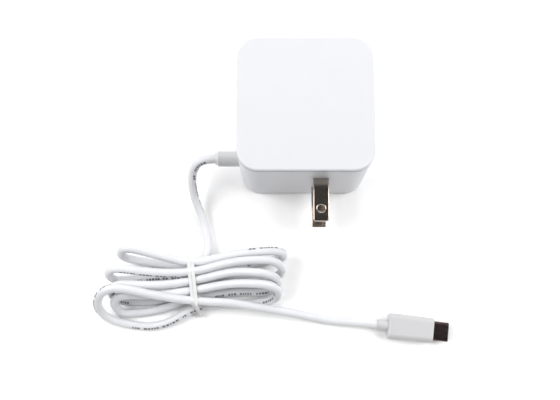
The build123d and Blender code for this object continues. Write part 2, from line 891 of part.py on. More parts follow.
shell_start = overmould_end - shell_inside
shell_length = shell_inside + shell_reach
shell_edge_rounding = 0.15
with BuildPart() as plug_shell:
    with BuildSketch(plug_plane(shell_start)):
        SlotOverall(shell_width, shell_thickness)
    extrude(amount=shell_length)
    fillet(plug_shell.faces().sort_by(Axis.X)[-1].edges(), shell_edge_rounding)
    with BuildSketch(plug_plane(shell_start)):
        SlotOverall(shell_width - 2 * shell_wall, shell_thickness - 2 * shell_wall)
    extrude(amount=shell_length, mode=Mode.SUBTRACT)
save(plug_shell.part, "plug_shell")

insulator_width = shell_width - 2 * shell_wall - slip_gap
insulator_thickness = shell_thickness - 2 * shell_wall - slip_gap
mouth_width = 6.8
mouth_thickness = 0.95
mouth_depth = 5.4
insulator_setback = 0.35
insulator_end = overmould_end + shell_reach - insulator_setback
with BuildPart() as plug_insulator:
    with BuildSketch(plug_plane(shell_start)):
        SlotOverall(insulator_width, insulator_thickness)
    extrude(amount=insulator_end - shell_start)
    with BuildSketch(plug_plane(insulator_end - mouth_depth)):
        Rectangle(mouth_width, mouth_thickness)
    extrude(amount=mouth_depth, mode=Mode.SUBTRACT)
save(plug_insulator.part, "plug_insulator")

contact_count = 12
contact_pitch = 0.5
contact_width = 0.25
contact_thickness = 0.12
contact_length = 4.2
contact_level = mouth_thickness / 2 - contact_thickness / 2
with BuildPart() as plug_contacts:
    with BuildSketch(plug_plane(insulator_end - mouth_depth)):
        with GridLocations(contact_pitch, 2 * contact_level, contact_count, 2):
            Rectangle(contact_width, contact_thickness)
    extrude(amount=contact_length)
save(plug_contacts.part, "plug_contacts")

paddle_width = 8.0
paddle_thickness = 0.8
paddle_length = 9.0
with BuildPart() as plug_board:
    with BuildSketch(plug_plane(shell_start - paddle_length)):
        Rectangle(paddle_width, paddle_thickness)
    extrude(amount=paddle_length)
save(plug_board.part, "plug_board")

core_radius = 0.5
core_spacing = 2.4
core_length = 4.0
with BuildPart() as plug_leads:
    with BuildSketch(plug_plane(cavity_start)):
        with Locations((0, paddle_thickness / 2 + core_radius)):
            with GridLocations(core_spacing, 0, 2, 1):
                Circle(core_radius)
    extrude(amount=core_length)
save(plug_leads.part, "plug_leads")
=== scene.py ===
import json
import math
import random

import bmesh
import bpy
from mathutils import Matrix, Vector


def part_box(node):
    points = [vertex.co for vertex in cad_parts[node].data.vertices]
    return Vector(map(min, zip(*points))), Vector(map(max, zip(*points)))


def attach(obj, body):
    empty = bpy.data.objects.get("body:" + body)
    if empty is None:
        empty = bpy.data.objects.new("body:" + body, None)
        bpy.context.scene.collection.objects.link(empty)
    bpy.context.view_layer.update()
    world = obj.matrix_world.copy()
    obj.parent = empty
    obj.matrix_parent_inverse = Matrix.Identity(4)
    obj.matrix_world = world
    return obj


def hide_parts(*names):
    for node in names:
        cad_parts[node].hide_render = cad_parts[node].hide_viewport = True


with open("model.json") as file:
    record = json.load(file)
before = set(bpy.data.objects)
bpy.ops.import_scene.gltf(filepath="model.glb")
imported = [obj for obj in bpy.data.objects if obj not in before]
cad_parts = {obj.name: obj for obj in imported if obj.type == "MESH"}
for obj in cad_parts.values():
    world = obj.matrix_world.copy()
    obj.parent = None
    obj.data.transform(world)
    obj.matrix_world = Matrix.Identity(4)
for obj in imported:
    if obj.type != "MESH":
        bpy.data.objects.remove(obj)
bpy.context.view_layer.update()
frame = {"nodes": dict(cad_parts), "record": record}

nodes = frame["nodes"]
scene = bpy.context.scene
collection = scene.collection

# ---------------------------------------------------------------- camera

camera_data = bpy.data.cameras.new("camera")
camera_data.sensor_width = 36.0
camera_data.lens = 34.02
camera_data.shift_y = 0.143
camera_data.clip_start = 0.01
camera = bpy.data.objects.new("camera", camera_data)
camera.location = (-0.00987, -0.07789, 0.23034)
camera.rotation_euler = (math.radians(5.36), 0.0, 0.0)
collection.objects.link(camera)
scene.camera = camera

# ---------------------------------------------------------------- cord's route

cord_diameter = 0.0036
cord_radius = cord_diameter / 2
floor_level = 0.0019

route_to_hank = [
    (-0.0365, -0.0077, 0.0175),
    (-0.0418, -0.0077, 0.0175),
    (-0.0462, -0.0106, 0.0146),
    (-0.0476, -0.0164, 0.0092),
    (-0.0462, -0.0234, 0.0044),
    (-0.0430, -0.0308, 0.0023),
    (-0.0412, -0.0384, 0.0026),
    (-0.0410, -0.0446, 0.0032),
    (-0.0426, -0.0496, 0.0029),
]
route_to_plug = [
    (-0.0305, -0.0664, 0.0082),
    (-0.0175, -0.0687, 0.0064),
    (-0.0050, -0.0706, 0.0046),
    (0.0046, -0.0726, 0.0024),
    (0.0144, -0.0744, 0.0019),
    (0.02494, -0.07486, 0.0031),
    (0.0315, -0.0756, 0.0031),
]

# Ends of the hank's turns: x of the tip, y of the upper and the lower run at the end, height of the
# upper run at the end, y of the upper and the lower run halfway to the tie, height of the upper one
left_ends = [
    (-0.0776, -0.0440, -0.0475, 0.0115, -0.0467, -0.0497, 0.0100),
    (-0.0824, -0.0526, -0.0570, 0.0122, -0.0545, -0.0550, 0.0112),
    (-0.0809, -0.0594, -0.0660, 0.0128, -0.0596, -0.0657, 0.0104),
    (-0.0796, -0.0637, -0.0713, 0.0114, -0.0634, -0.0696, 0.0086),
    (-0.0858, -0.0610, -0.0750, 0.0168, -0.0640, -0.0774, 0.0134),
]
right_ends = [
    (-0.0084, -0.0453, -0.0476, 0.0132, -0.0462, -0.0512, 0.0102),
    (-0.0091, -0.0494, -0.0559, 0.0148, -0.0497, -0.0576, 0.0124),
    (-0.0108, -0.0548, -0.0619, 0.0146, -0.0536, -0.0616, 0.0112),
    (-0.0106, -0.0594, -0.0658, 0.0146, -0.0586, -0.0672, 0.0112),
]
# Where each turn's upper and lower run pass through the tie
tied_above = [
    (-0.0468, -0.0503, 0.0072),
    (-0.0464, -0.0538, 0.0080),
    (-0.0460, -0.0573, 0.0072),
    (-0.0456, -0.0612, 0.0070),
    (-0.0450, -0.0660, 0.0072),
]
tied_below = [
    (-0.0478, -0.0516, 0.0029),
    (-0.0474, -0.0556, 0.0029),
    (-0.0468, -0.0596, 0.0029),
    (-0.0462, -0.0634, 0.0029),
    (-0.0452, -0.0672, 0.0029),
]
left_middle_x = -0.0610
right_middle_x = -0.0300
end_points = 5
end_turn = math.radians(200.0)


def loop_end(side, tip_x, upper_y, lower_y, upper_z):
    """Control points round one end of a turn, from the lower run up to the upper one."""
    lower = Vector((0.0, lower_y, floor_level))
    upper = Vector((0.0, upper_y, upper_z))
    radius = (upper - lower).length / 2
    rise = (upper - lower).normalized()
    centre = (upper + lower) / 2 + Vector((tip_x - side * radius, 0.0, 0.0))
    step = end_turn / end_points
    reach = radius / math.cos(step / 2)
    points = []
    for index in range(end_points):
        angle = (index + 0.5) * step
        across = Vector((side * math.sin(angle), 0.0, 0.0))
        points.append(centre + reach * (across - math.cos(angle) * rise))
    return points


def hank_points():
    """Control points of the whole hank, sixteen to a turn."""
    points = []
    for turn, left_end in enumerate(left_ends):
        tip_x, upper_y, lower_y, upper_z, middle_y, low_middle_y, middle_z = left_end
        points.append(tied_below[turn])
        points.append((left_middle_x, low_middle_y, floor_level))
        points += loop_end(-1, tip_x, upper_y, lower_y, upper_z)
        points.append((left_middle_x, middle_y, middle_z))
        points.append(tied_above[turn])
        if turn < len(right_ends):
            tip_x, upper_y, lower_y, upper_z, middle_y, low_middle_y, middle_z = right_ends[turn]
            points.append((right_middle_x, middle_y, middle_z))
            points += reversed(loop_end(1, tip_x, upper_y, lower_y, upper_z))
            points.append((right_middle_x, low_middle_y, floor_level))
    return points


route = route_to_hank + hank_points() + route_to_plug

cord_curve = bpy.data.curves.new("cord", "CURVE")
cord_curve.dimensions = "3D"
spline = cord_curve.splines.new("NURBS")
spline.points.add(len(route) - 1)
for control, place in zip(spline.points, route):
    control.co = (*place, 1.0)
    control.radius = cord_radius
spline.order_u = 3
spline.use_endpoint_u = True
spline.resolution_u = 8
cord = bpy.data.objects.new("power_cord", cord_curve)
collection.objects.link(cord)


def mesh_of(shape):
    """The mesh that a curve object makes."""
    bpy.context.view_layer.update()
    graph = bpy.context.evaluated_depsgraph_get()
    return bpy.data.meshes.new_from_object(shape.evaluated_get(graph))


def centreline(curve_object):
    """Points along a curve that has no bevel yet."""
    mesh = mesh_of(curve_object)
    points = [vertex.co.copy() for vertex in mesh.vertices]
    bpy.data.meshes.remove(mesh)
    return points


cord_line = centreline(cord)
# Each point's radius, which is the cord's, scales the bevel
cord_curve.bevel_depth = 1.0
cord_curve.bevel_resolution = 8
cord_curve.use_fill_caps = True
cord_length = sum((b - a).length for a, b in zip(cord_line, cord_line[1:]))

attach(cord, "root")
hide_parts("cord_to_hank", "cord_hank", "cord_to_plug")

# ---------------------------------------------------------------- mesh helpers


def add_piece(name, mesh):
    """Links a smooth-shaded mesh as a piece of the object that rides with it."""
    mesh.shade_smooth()
    piece = bpy.data.objects.new(name, mesh)
    collection.objects.link(piece)
    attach(piece, "root")
    return piece


def square_to(points, index, guide):
    """A normal to a path at one of its points, as near as can be to a guide, and the side beside it."""
    ahead = points[min(index + 1, len(points) - 1)]
    behind = points[max(index - 1, 0)]
    tangent = (ahead - behind).normalized()
    normal = (guide - tangent * guide.dot(tangent)).normalized()
    return normal, tangent.cross(normal)


def transported(points, start):
    """A normal and a side at each point of a path, carried along it without twist."""
    normals = []
    guide = Vector(start)
    for index in range(len(points)):
        normals.append(square_to(points, index, guide))
        guide = normals[-1][0]
    return normals


def facing_out(points, middle):
    """A normal and a side at each point of a path, turned away from a middle point."""
    return [square_to(points, index, point - middle) for index, point in enumerate(points)]


def finished(mesh, name):
    """A mesh for an object, with its normals turned outward."""
    bmesh.ops.recalc_face_normals(mesh, faces=mesh.faces)
    data = bpy.data.meshes.new(name)
    mesh.to_mesh(data)
    mesh.free()
    return data


def swept(name, points, section, normals):
    """A closed mesh of one section along a path."""
    mesh = bmesh.new()
    rings = []
    for point, (normal, side) in zip(points, normals):
        rings.append([mesh.verts.new(point + normal * u + side * v) for u, v in section])
    count = len(section)
    for ring, following in zip(rings, rings[1:]):
        for index in range(count):
            after = (index + 1) % count
            mesh.faces.new((ring[index], ring[after], following[after], following[index]))
    mesh.faces.new(list(reversed(rings[0])))
    mesh.faces.new(rings[-1])
    return finished(mesh, name)


# ---------------------------------------------------------------- generic marks printed on the cord

mark_start = 0.004
mark_end = cord_length - 0.110
mark_half_width = math.radians(15.0)
mark_proud = 0.00002
mark_sunk = 0.00006
mark_grid = (5, 4)
group_length = (0.026, 0.040)
group_gap = (0.010, 0.018)
word_gap = (0.0010, 0.0018)
word_dashes = (2, 6)
dash_length = (0.0005, 0.0013)
dash_gap = (0.0003, 0.0005)
marks_seed = 11
# Twist of the printed line round the cord: (length along it, degrees)
mark_twist = [
    (0.004, 31.0),
    (0.012, 20.0),
    (0.020, -25.0),
    (0.040, -100.0),
    (0.078, -130.0),
    (0.093, -32.0),
    (0.108, 0.0),
    (0.132, 100.0),
    (0.150, 222.0),
    (0.169, 205.0),
    (0.190, 44.0),
    (0.231, 29.0),
    (0.271, -15.0),
    (0.313, 40.0),
    (0.334, 98.0),
    (0.351, 30.0),
    (0.395, 16.0),
    (0.433, 45.0),
    (0.478, 45.0),
    (0.512, 16.0),
    (0.555, -103.0),
    (0.590, -288.0),
    (0.634, -321.0),
    (0.650, -297.0),
    (0.669, -337.0),
    (0.713, -340.0),
    (0.737, -396.0),
    (0.764, -560.0),
]

cord_along = [0.0]
for before, after in zip(cord_line, cord_line[1:]):
    cord_along.append(cord_along[-1] + (after - before).length)
cord_normals = transported(cord_line, (0.0, -1.0, 0.0))


def table_value(table, place):
    """A value between the entries of a table of pairs, eased from each to the next."""
    for (start, low), (end, high) in zip(table, table[1:]):
        if place <= end:
            share = max(0.0, min(1.0, (place - start) / (end - start)))
            return low + (high - low) * share * share * (3 - 2 * share)
    return table[-1][1]


def on_cord(along, angle, radius):
    """A point at a length along the cord, an angle round it and a distance from its centreline."""
    index = 0
    while index < len(cord_along) - 2 and cord_along[index + 1] < along:
        index += 1
    share = (along - cord_along[index]) / (cord_along[index + 1] - cord_along[index])
    centre = cord_line[index].lerp(cord_line[index + 1], share)
    normal = cord_normals[index][0].lerp(cord_normals[index + 1][0], share).normalized()
    side = cord_normals[index][1].lerp(cord_normals[index + 1][1], share).normalized()
    turn = angle + math.radians(table_value(mark_twist, along))
    return centre + radius * (math.cos(turn) * normal + math.sin(turn) * side)


def add_mark(mesh, start, end):
    """A thin closed plate on the cord's surface, from one length along it to another."""
    rows, columns = mark_grid
    layers = []
    for radius in (cord_radius + mark_proud, cord_radius - mark_sunk):
        grid = []
        for row in range(rows):
            along = start + (end - start) * row / (rows - 1)
            angles = [mark_half_width * (2 * column / (columns - 1) - 1) for column in range(columns)]
            grid.append([mesh.verts.new(on_cord(along, angle, radius)) for angle in angles])
        layers.append(grid)
    for grid in layers:
        for row in range(rows - 1):
            for column in range(columns - 1):
                mesh.faces.new((
                    grid[row][column],
                    grid[row][column + 1],
                    grid[row + 1][column + 1],
                    grid[row + 1][column],
                ))
    outer, inner = layers
    rim = [(0, column) for column in range(columns)]
    rim += [(row, columns - 1) for row in range(1, rows)]
    rim += [(rows - 1, column) for column in range(columns - 2, -1, -1)]
    rim += [(row, 0) for row in range(rows - 2, 0, -1)]
    for (row, column), (next_row, next_column) in zip(rim, rim[1:] + rim[:1]):
        mesh.faces.new((
            outer[row][column],
            outer[next_row][next_column],
            inner[next_row][next_column],
            inner[row][column],
        ))


def print_marks():
    """Groups of dashes of uneven length along the cord, with a gap between the groups."""
    draw = random.Random(marks_seed)
    mesh = bmesh.new()
    along = mark_start
    while along < mark_end:
        group_end = along + draw.uniform(*group_length)
        while along < group_end:
            for _ in range(draw.randint(*word_dashes)):
                length = draw.uniform(*dash_length)
                add_mark(mesh, along, along + length)
                along += length + draw.uniform(*dash_gap)
            along += draw.uniform(*word_gap)
        along += draw.uniform(*group_gap)
    return finished(mesh, "cord_marks")


marks = add_piece("cord_marks", print_marks())

# ---------------------------------------------------------------- twist tie

tie_half_width = 0.00074
tie_wire_radius = 0.00040
tie_wing_thickness = 0.00022
tie_wing_slope = 2.2
tie_corners = 24
tie_clearance = 0.00005
tie_spread = 0.00082
tie_overlap = 0.0006
tie_middle = Vector((-0.0464, -0.0590, 0.0050))
tie_back = (-0.0476, -0.0485)
tie_front = (-0.0452, -0.0694)
tie_start = math.radians(-20.0)
tie_steps = 72
tie_spacing = 0.0004
tie_passes = 3
knot_share = 0.1
overlap_slope = 4.0
knot_offset = Vector((0.0002, -0.0010, 0.0))
tail_steps = 24
tail_length = 0.0026
tail_turns = 1.4
tail_helix_radius = 0.00042
tail_direction = Vector((0.62, -0.78, 0.0))
tail_level = 0.0026
tail_end_level = 0.0017


def tie_x(y):
    """The tie crosses the hank at a slant."""
    share = (y - tie_back[1]) / (tie_front[1] - tie_back[1])
    return tie_back[0] + (tie_front[0] - tie_back[0]) * share


def strand_gap(share):
    """How far the two strands are apart along the wrap, from 0 at the knot to 1."""
    rise = math.sin(share * math.pi)
    return math.sqrt(rise) if share < 0.5 else min(1.0, rise / math.sin(knot_share * math.pi))


def wrap_point(angle, offset, lift):
    """A point of the tie, drawn tight round the runs, at an angle that starts at the front."""
    outward = Vector((0.0, -math.cos(angle), math.sin(angle)))
    runs = [Vector((0.0, y, z)) for _, y, z in tied_above + tied_below]
    furthest = max(runs, key=lambda run: run.dot(outward))
    place = furthest + outward * (cord_radius + tie_wire_radius + tie_clearance + lift)
    place.x = tie_x(place.y) + offset
    return place


def rounded(points, passes):
    """Evens out a path, its two ends fixed."""
    for _ in range(passes):
        inside = [(a + 2 * b + c) / 4 for a, b, c in zip(points, points[1:], points[2:])]
        points = [points[0]] + inside + [points[-1]]
    return points


def tail_points(phase):
    """One of the two twisted ends, from the knot outward."""
    knot = Vector((tie_x(tie_front[1]), tie_front[1], tail_level)) + knot_offset
    across = Vector((-tail_direction.y, tail_direction.x, 0.0))
    points = []
    for step in range(tail_steps + 1):
        share = step / tail_steps
        angle = phase + share * tail_turns * 2 * math.pi
        centre = knot + tail_direction * tail_length * share
        centre.z += (tail_end_level - tail_level) * share
        off_axis = math.cos(angle) * across + Vector((0.0, 0.0, math.sin(angle)))
        points.append(centre + tail_helix_radius * off_axis)
    return points


def tie_path():
    """The whole tie: out of one twisted end, twice round the hank and into the other end."""
    points = list(reversed(tail_points(0.0)))
    for strand in (-1, 1):
        for step in range(tie_steps + 1):
            share = step / tie_steps
            angle = tie_start + share * 2 * math.pi
            gap = strand_gap(share)
            lift = tie_overlap * min(1.0, overlap_slope * (1.0 - gap)) if strand > 0 else 0.0
            points.append(wrap_point(angle, strand * tie_spread * gap, lift))
    return points + tail_points(math.pi)


def resampled(points, spacing):
    """Points at an even spacing along a path."""
    lengths = [0.0]
    for before, after in zip(points, points[1:]):
        lengths.append(lengths[-1] + (after - before).length)
    count = int(lengths[-1] / spacing)
    found = []
    index = 0
    for step in range(count + 1):
        target = lengths[-1] * step / count
        while index < len(points) - 2 and lengths[index + 1] < target:
            index += 1
        span = max(lengths[index + 1] - lengths[index], 1e-9)
        found.append(points[index].lerp(points[index + 1], (target - lengths[index]) / span))
    return found


def ribbon_section():
    """A flat ribbon with a round wire along its middle."""
    section = []
    for corner in range(tie_corners):
        angle = 2 * math.pi * corner / tie_corners
        across = tie_half_width * math.cos(angle)
        wire = math.sqrt(max(tie_wire_radius**2 - across**2, 0.0))
        wing = tie_wing_thickness * min(1.0, tie_wing_slope * abs(math.sin(angle)))
        height = math.copysign(max(wire, wing), math.sin(angle))
        at_edge = corner % (tie_corners // 2) == 0
        section.append((0.0 if at_edge else height, across))
    return section


tie_line = rounded(resampled(tie_path(), tie_spacing), tie_passes)
tie_mesh = swept("twist_tie_wire", tie_line, ribbon_section(), facing_out(tie_line, tie_middle))
tie = add_piece("twist_tie_wire", tie_mesh)
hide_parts("twist_tie")

# ---------------------------------------------------------------- blades

blade_bevel = 0.00042
blade_corner = 0.0011
corner_steps = 8
blade_hole_radius = 0.00155
hole_steps = 48
merge_distance = 0.000001
mounts = {mount["name"]: mount["pos_m"] for mount in frame["record"]["mounts"]}
blade_hole = mounts["blade_holes"]


def arc(centre, radius, start, end, steps):
    """Points along an arc in the plane of the blades, from one angle in degrees to another."""
    points = []
    for step in range(steps + 1):
        angle = math.radians(start + (end - start) * step / steps)
        points.append((centre[0] + radius * math.cos(angle), centre[1] + radius * math.sin(angle)))
    return points


def blade_form(node):
    """A flat blade with coined edges all round and round its hole."""
    low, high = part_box(node)
    tip_left = (low.x + blade_corner, low.y + blade_corner)
    tip_right = (high.x - blade_corner, low.y + blade_corner)
    outline = arc(tip_left, blade_corner, 180, 270, corner_steps)
    outline += arc(tip_right, blade_corner, 270, 360, corner_steps)
    outline += [(high.x, high.y), (low.x, high.y)]
    rim = arc(blade_hole, blade_hole_radius, 0, 360, hole_steps)[:-1]
    form = bpy.data.curves.new(node + "_form", "CURVE")
    form.dimensions = "2D"
    form.fill_mode = "BOTH"
    form.extrude = (high.z - low.z) / 2 - blade_bevel
    form.bevel_depth = blade_bevel
    form.bevel_resolution = 3
    form.offset = -blade_bevel
    for points in (outline, rim):
        edge = form.splines.new("POLY")
        edge.points.add(len(points) - 1)
        edge.use_cyclic_u = True
        for point, (x, y) in zip(edge.points, points):
            point.co = (x, y, 0.0, 1.0)
    shape = bpy.data.objects.new(node + "_form", form)
    collection.objects.link(shape)
    mesh = bmesh.new()
    mesh.from_mesh(mesh_of(shape))
    bpy.data.objects.remove(shape)
    bmesh.ops.remove_doubles(mesh, verts=mesh.verts, dist=merge_distance)
    bmesh.ops.translate(mesh, verts=mesh.verts, vec=(0.0, 0.0, (low.z + high.z) / 2))
    name = node + "_coined"
    blade = add_piece(name, finished(mesh, name))
    blade.modifiers.new("even_normals", "WEIGHTED_NORMAL")
    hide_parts(node)
    return blade


blades = [blade_form(node) for node in ("upper_blade", "lower_blade")]

# ---------------------------------------------------------------- materials


class Surface:
    """A Principled material whose colour, roughness and relief come from procedural textures."""

    def __init__(self, name, metallic=0.0):
        self.material = bpy.data.materials.new(name)
        self.material.use_nodes = True
        self.tree = self.material.node_tree
        self.shader = self.tree.nodes["Principled BSDF"]
        self.shader.inputs["Metallic"].default_value = metallic
        self.place = self.tree.nodes.new("ShaderNodeTexCoord").outputs["Object"]
        self.relief = None

    def stretched(self, stretch):
        """The object's coordinates, scaled along each axis."""
        mapping = self.tree.nodes.new("ShaderNodeMapping")
        mapping.inputs["Scale"].default_value = stretch
        self.tree.links.new(self.place, mapping.inputs["Vector"])
        return mapping.outputs["Vector"]

    def noise(self, size, detail=2.0, stretch=None):
        """Soft noise whose spots are about as wide as the size, in metres."""
        texture = self.tree.nodes.new("ShaderNodeTexNoise")
        texture.inputs["Scale"].default_value = 1 / size
        texture.inputs["Detail"].default_value = detail
        vector = self.stretched(stretch) if stretch else self.place
        self.tree.links.new(vector, texture.inputs["Vector"])
        return texture.outputs["Fac"]

    def wave(self, spacing, axis="X", distortion=0.0):
        """Even bands across an axis, one to each spacing in metres."""
        texture = self.tree.nodes.new("ShaderNodeTexWave")
        texture.bands_direction = axis
        texture.inputs["Scale"].default_value = math.pi / 10 / spacing
        texture.inputs["Distortion"].default_value = distortion
        self.tree.links.new(self.place, texture.inputs["Vector"])
        return texture.outputs["Fac"]

    def cells(self, size):
        """Cells about as wide as the size, in metres, dark at their middles."""
        texture = self.tree.nodes.new("ShaderNodeTexVoronoi")
        texture.inputs["Scale"].default_value = 1 / size
        self.tree.links.new(self.place, texture.inputs["Vector"])
        return texture.outputs["Distance"]

    def colour(self, value, dark, light, low=0.35, high=0.65):
        """Base colour from one shade to another as a texture rises."""
        ramp = self.tree.nodes.new("ShaderNodeValToRGB")
        ramp.color_ramp.elements[0].position = low
        ramp.color_ramp.elements[1].position = high
        ramp.color_ramp.elements[0].color = (*dark, 1.0)
        ramp.color_ramp.elements[1].color = (*light, 1.0)
        self.tree.links.new(value, ramp.inputs["Fac"])
        self.tree.links.new(ramp.outputs["Color"], self.shader.inputs["Base Color"])

    def dust_and_shade_line_at(self, height, half_width, darkest):
        """Darkens the base colour in a thin level line: dust in a joint, together with painted shade of
        the groove.
        """
        split = self.tree.nodes.new("ShaderNodeSeparateXYZ")
        offset = self.tree.nodes.new("ShaderNodeMath")
        offset.operation = "SUBTRACT"
        offset.inputs[1].default_value = height
        distance = self.tree.nodes.new("ShaderNodeMath")
        distance.operation = "ABSOLUTE"
        fade = self.tree.nodes.new("ShaderNodeMapRange")
        fade.inputs["From Max"].default_value = half_width
        fade.inputs["To Min"].default_value = darkest
        mix = self.tree.nodes.new("ShaderNodeVectorMath")
        mix.operation = "MULTIPLY"
        base = self.shader.inputs["Base Color"]
        self.tree.links.new(self.place, split.inputs["Vector"])
        self.tree.links.new(split.outputs["Z"], offset.inputs[0])
        self.tree.links.new(offset.outputs["Value"], distance.inputs[0])
        self.tree.links.new(distance.outputs["Value"], fade.inputs["Value"])
        self.tree.links.new(base.links[0].from_socket, mix.inputs[0])
        self.tree.links.new(fade.outputs["Result"], mix.inputs[1])
        self.tree.links.new(mix.outputs["Vector"], base)

    def rough(self, value, low, high):
        """Roughness from a low to a high value as a texture rises."""
        spread = self.tree.nodes.new("ShaderNodeMapRange")
        spread.inputs["From Min"].default_value = 0.3
        spread.inputs["From Max"].default_value = 0.7
        spread.inputs["To Min"].default_value = low
        spread.inputs["To Max"].default_value = high
        self.tree.links.new(value, spread.inputs["Value"])
        self.tree.links.new(spread.outputs["Result"], self.shader.inputs["Roughness"])

    def bump(self, value, depth):
        """Relief of a depth in metres, on top of any relief given before."""
        bump = self.tree.nodes.new("ShaderNodeBump")
        bump.inputs["Distance"].default_value = depth
        self.tree.links.new(value, bump.inputs["Height"])
        if self.relief:
            self.tree.links.new(self.relief, bump.inputs["Normal"])
        self.relief = bump.outputs["Normal"]
        self.tree.links.new(self.relief, self.shader.inputs["Normal"])


def shade(colour, factor):
    """A colour made lighter or darker."""
    return tuple(min(1.0, channel * factor) for channel in colour)


def moulded(name, colour, gloss, grain=0.0004, grain_depth=0.000001, sink_depth=0.000003, seam=None):
    """Moulded plastic: fine grain of the tool, faint sinks, and a colour that is not quite even."""
    surface = Surface(name)
    cloud = surface.noise(0.012)
    fine = surface.noise(grain, 3.0)
    surface.colour(cloud, shade(colour, 0.988), colour)
    # The seam line is darkened in the colour: partly dust, partly painted shade in the groove.
    if seam:
        surface.dust_and_shade_line_at(seam, seam_half_width, seam_dust_and_shade_darkest)
    surface.rough(surface.noise(0.003, 4.0), gloss - 0.04, gloss + 0.05)
    surface.bump(cloud, sink_depth)
    surface.bump(fine, grain_depth)
    return surface.material


def jacket(name, colour):
    """Extruded cable jacket: soft gloss, fine matt skin and faint unevenness."""
    surface = Surface(name)
    surface.colour(surface.noise(0.006, 3.0), shade(colour, 0.965), colour)
    surface.rough(surface.noise(0.0015, 4.0), 0.34, 0.46)
    surface.bump(surface.noise(0.0045), 0.00006)
    surface.bump(surface.noise(0.00025, 3.0), 0.000004)
    return surface.material


def tie_cover(name, colour):
    """Thin plastic drawn over a wire, with small creases across it."""
    surface = Surface(name)
    surface.colour(surface.noise(0.002, 3.0), shade(colour, 0.94), colour)
    surface.rough(surface.noise(0.0008, 3.0), 0.42, 0.58)
    surface.bump(surface.noise(0.0007, 3.0), 0.00008)
    return surface.material


def brushed(name, colour, gloss, along, line=0.00012, depth=0.0000012, wear=0.82):
    """Plated metal with fine brush lines along an axis and faint stains."""
    surface = Surface(name, metallic=1.0)
    stretch = tuple(0.03 if axis == along else 1.0 for axis in "XYZ")
    lines = surface.noise(line, 3.0, stretch)
    stains = surface.noise(0.0022, 5.0)
    surface.colour(stains, shade(colour, wear), colour)
    surface.rough(lines, gloss - 0.07, gloss + 0.09)
    surface.bump(lines, depth)
    surface.bump(stains, depth * 2)
    return surface.material


def printed(name, colour):
    """Worn grey ink."""
    surface = Surface(name)
    surface.colour(surface.noise(0.0003, 4.0), colour, shade(colour, 1.7), 0.3, 0.7)
    surface.rough(surface.noise(0.0004, 3.0), 0.45, 0.65)
    surface.bump(surface.noise(0.0002, 3.0), 0.000003)
    return surface.material


def circuit_board(name, colour):
    """Solder mask over copper tracks, which show as paler cells."""
    surface = Surface(name)
    surface.colour(surface.cells(0.0035), colour, shade(colour, 1.6), 0.42, 0.47)
    surface.rough(surface.noise(0.002, 3.0), 0.28, 0.4)
    surface.bump(surface.cells(0.0035), 0.00003)
    surface.bump(surface.noise(0.0004, 3.0), 0.000004)
    return surface.material


def wound(name, dark, light, spacing, axis, metallic=0.0):
    """Turns of wire or tape side by side."""
    surface = Surface(name, metallic=metallic)
    turns = surface.wave(spacing, axis, 0.4)
    surface.colour(turns, dark, light, 0.1, 0.9)
    surface.rough(surface.noise(0.0015, 3.0), 0.28, 0.42)
    surface.bump(turns, spacing * 0.25)
    return surface.material


def ground_ferrite(name, colour):
    """Dark sintered ferrite with a fine grain."""
    surface = Surface(name)
    surface.colour(surface.noise(0.0003, 5.0), shade(colour, 0.7), shade(colour, 1.5))
    surface.rough(surface.noise(0.0006, 4.0), 0.5, 0.72)
    surface.bump(surface.noise(0.00025, 5.0), 0.00001)
    return surface.material


def fibrous(name, colour):
    """Pressed insulating paper with its fibres."""
    surface = Surface(name)
    fibres = surface.noise(0.0005, 6.0, (1.0, 0.25, 1.0))
    surface.colour(fibres, shade(colour, 0.86), colour)
    surface.rough(fibres, 0.6, 0.8)
    surface.bump(fibres, 0.00002)
    return surface.material


white_plastic = (0.630, 0.634, 0.661)
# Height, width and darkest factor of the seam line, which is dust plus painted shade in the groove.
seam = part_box("housing_shell")[1].z
seam_half_width = 0.0006
seam_dust_and_shade_darkest = 0.35
nickel = (0.53, 0.47, 0.42)

